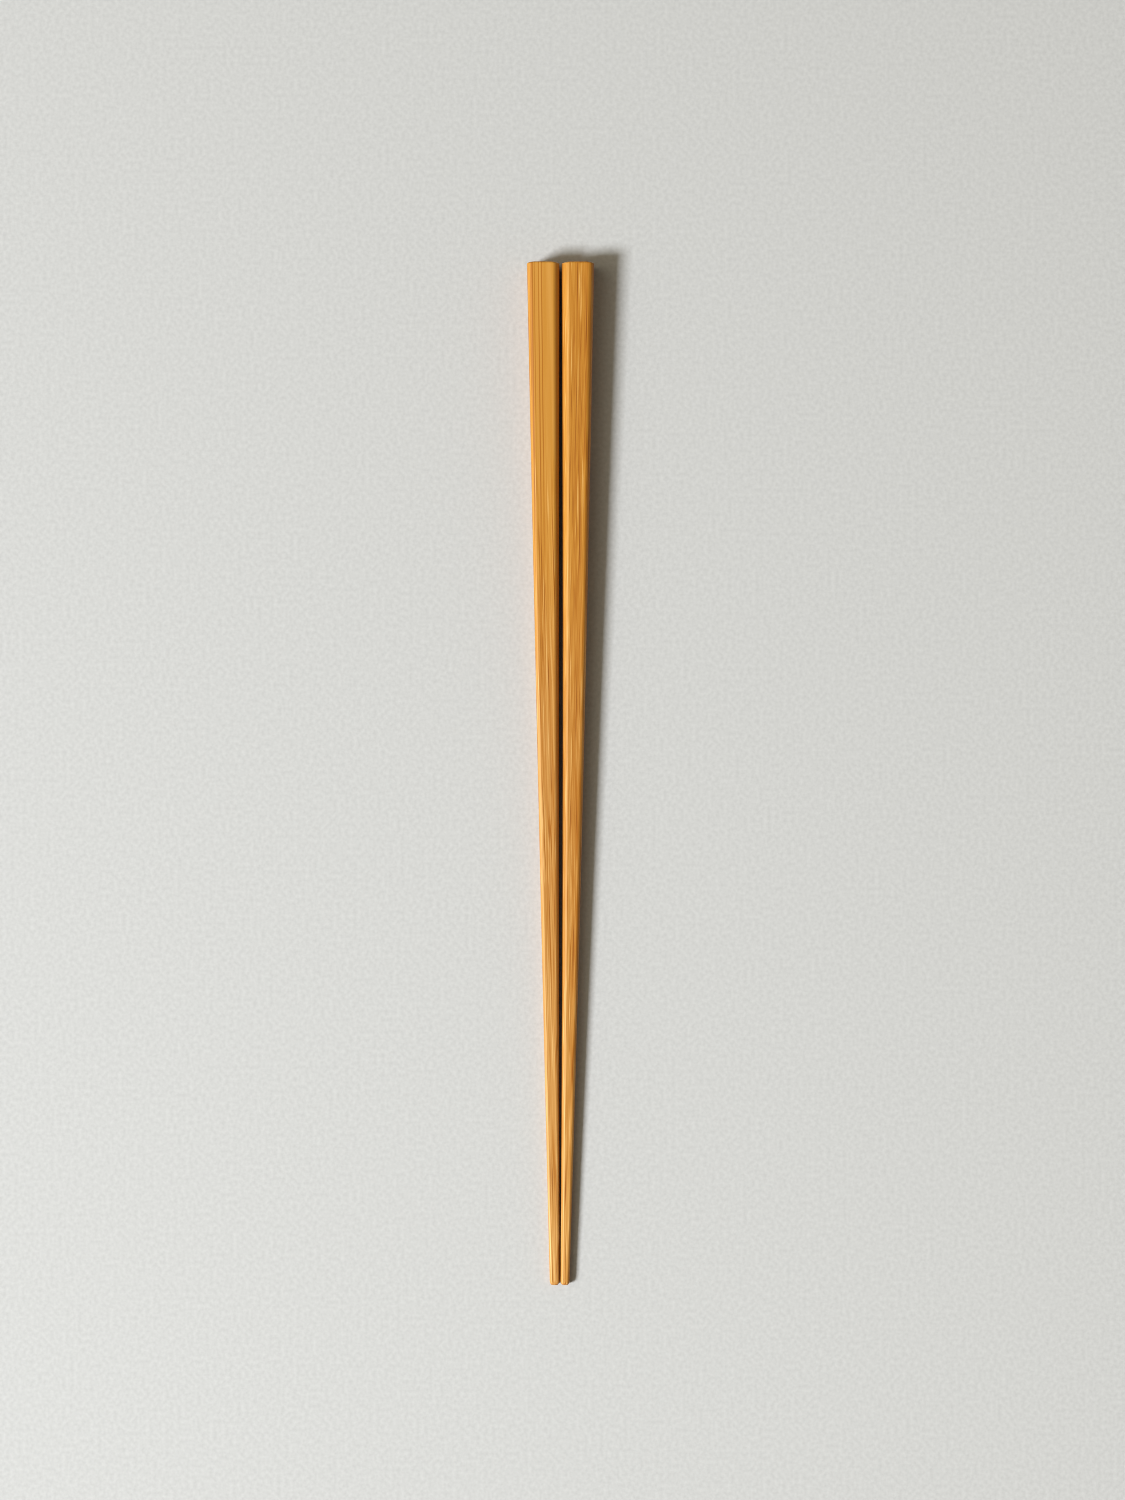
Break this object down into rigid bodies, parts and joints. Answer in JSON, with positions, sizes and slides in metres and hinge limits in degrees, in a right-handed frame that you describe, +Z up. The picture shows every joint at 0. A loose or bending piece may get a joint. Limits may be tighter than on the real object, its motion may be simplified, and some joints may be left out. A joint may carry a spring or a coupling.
{
  "type": "pair of chopsticks",
  "caption": "Matched bamboo chopsticks lying side by side: long tapered sticks of bevelled square section with flat butts and blunt tips, for picking up food.",
  "frame": {"origin": "on the table, at the middle of the pair's footprint, half way along the sticks", "axes": "+Y along the sticks from tips to butts, +X across the pair from the left stick to the right one, +Z up from the table"},
  "size_m": [0.015, 0.23, 0.0073],
  "materials": {
    "bamboo": "carbonised bamboo with long fibres, sanded and sealed to a satin sheen"
  },
  "bodies": {
    "root": {"left_chopstick": "bamboo", "right_chopstick": "bamboo"}
  },
  "joints": []
}
